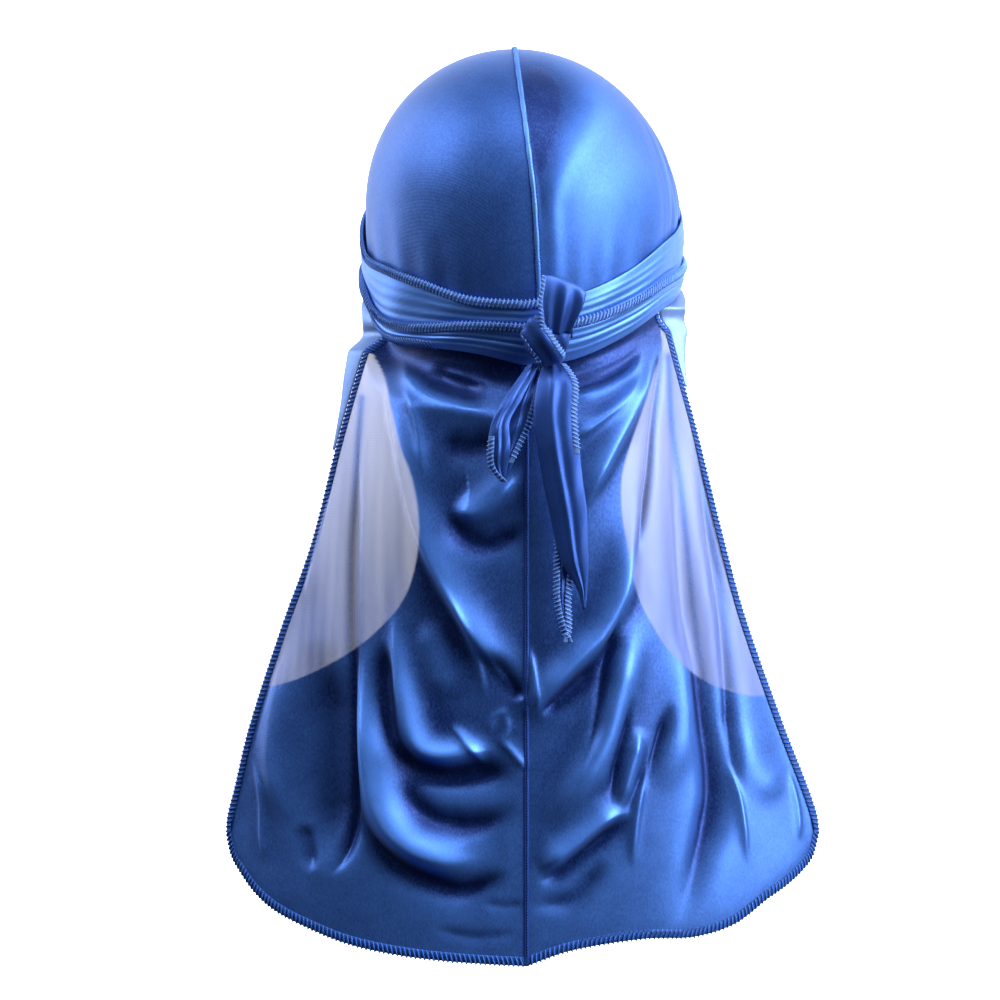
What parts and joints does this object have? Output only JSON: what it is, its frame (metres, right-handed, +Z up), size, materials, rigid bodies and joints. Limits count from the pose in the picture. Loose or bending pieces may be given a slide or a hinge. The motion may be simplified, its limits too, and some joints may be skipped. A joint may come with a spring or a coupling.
{
  "type": "durag",
  "caption": "Blue satin durag as worn: two-panel cap, two wraps of strap knotted at the back, two hanging strap ends and a long overlocked flap.",
  "frame": {"origin": "vertex of the head, at the inside of the crown", "axes": "+Z up, +Y towards the wearer's front, +X towards the wearer's right"},
  "size_m": [0.3013, 0.2101, 0.4622],
  "materials": {
    "cap_satin": "satin weave",
    "flap_satin": "satin weave",
    "strap_satin": "satin weave",
    "overlock": "overlocked thread"
  },
  "bodies": {
    "root": {"cap_left_panel": "cap_satin", "cap_right_panel": "cap_satin", "cap_seam": "cap_satin", "upper_strap_wrap": "strap_satin", "lower_strap_wrap": "strap_satin", "knot_core": "strap_satin", "knot_wrap": "strap_satin", "knot_loop": "strap_satin", "short_tail_front": "strap_satin", "short_tail_back": "strap_satin", "long_tail_front": "strap_satin", "long_tail_back": "strap_satin", "flap_left_panel": "flap_satin", "flap_right_panel": "flap_satin", "flap_seam": "flap_satin", "flap_left_hem": "overlock", "flap_right_hem": "overlock", "left_side_gusset": "strap_satin", "right_side_gusset": "strap_satin"}
  },
  "joints": []
}
